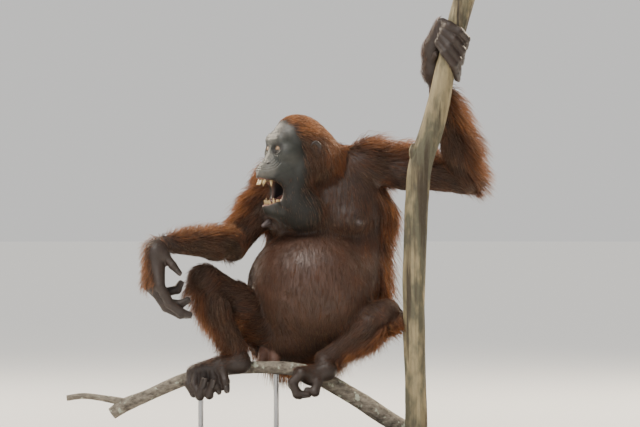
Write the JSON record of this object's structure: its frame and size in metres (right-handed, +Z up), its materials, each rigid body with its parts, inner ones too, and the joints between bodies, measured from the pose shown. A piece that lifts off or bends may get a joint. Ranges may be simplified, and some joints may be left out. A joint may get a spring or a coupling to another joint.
{
  "type": "orangutan",
  "caption": "Life-size still model of a long-haired orangutan squatting on a cut branch and holding a slim trunk, mouth open, on a flat display base.",
  "frame": {"origin": "centre of the stand base's underside, on the floor", "axes": "+Z up, -Y towards the viewer of the picture, +X to the right in the picture; the animal faces -Y turned towards -X"},
  "size_m": [1.2951, 0.5936, 1.398],
  "materials": {
    "coat": "long red-brown hair",
    "belly_skin": "skin under thin short hair",
    "face_skin": "bare grey skin, satin",
    "hand_skin": "bare dark skin, satin",
    "eye": "wet, glossy",
    "tooth": "glossy enamel",
    "tongue": "moist",
    "bark": "rough bark with a bare grey-olive sheen",
    "branch_bark": "rough bark with lichen",
    "board": "dark satin lacquer",
    "rod": "brushed"
  },
  "bodies": {
    "root": {"chest": "coat", "neck": "coat", "upper_arm_left": "coat", "forearm_left": "coat", "thigh_left": "coat", "shin_left": "coat", "upper_arm_right": "coat", "forearm_right": "coat", "thigh_right": "coat", "shin_right": "coat", "belly": "belly_skin", "head": "face_skin", "jaw": "face_skin", "ear_left": "face_skin", "ear_right": "face_skin", "hand_left": "hand_skin", "thumb_left": "hand_skin", "foot_left": "hand_skin", "big_toe_left": "hand_skin", "finger_index_left": "hand_skin", "finger_middle_left": "hand_skin", "finger_ring_left": "hand_skin", "finger_little_left": "hand_skin", "toe_2_left": "hand_skin", "toe_3_left": "hand_skin", "toe_4_left": "hand_skin", "toe_5_left": "hand_skin", "hand_right": "hand_skin", "thumb_right": "hand_skin", "foot_right": "hand_skin", "big_toe_right": "hand_skin", "finger_index_right": "hand_skin", "finger_middle_right": "hand_skin", "finger_ring_right": "hand_skin", "finger_little_right": "hand_skin", "toe_2_right": "hand_skin", "toe_3_right": "hand_skin", "toe_4_right": "hand_skin", "toe_5_right": "hand_skin", "eye_left": "eye", "eye_right": "eye", "teeth_upper": "tooth", "teeth_lower": "tooth", "tongue": "tongue", "perch_trunk": "bark", "perch_branch": "branch_bark", "stand_base": "board", "stand_rod_1": "rod", "stand_rod_2": "rod"}
  },
  "joints": []
}
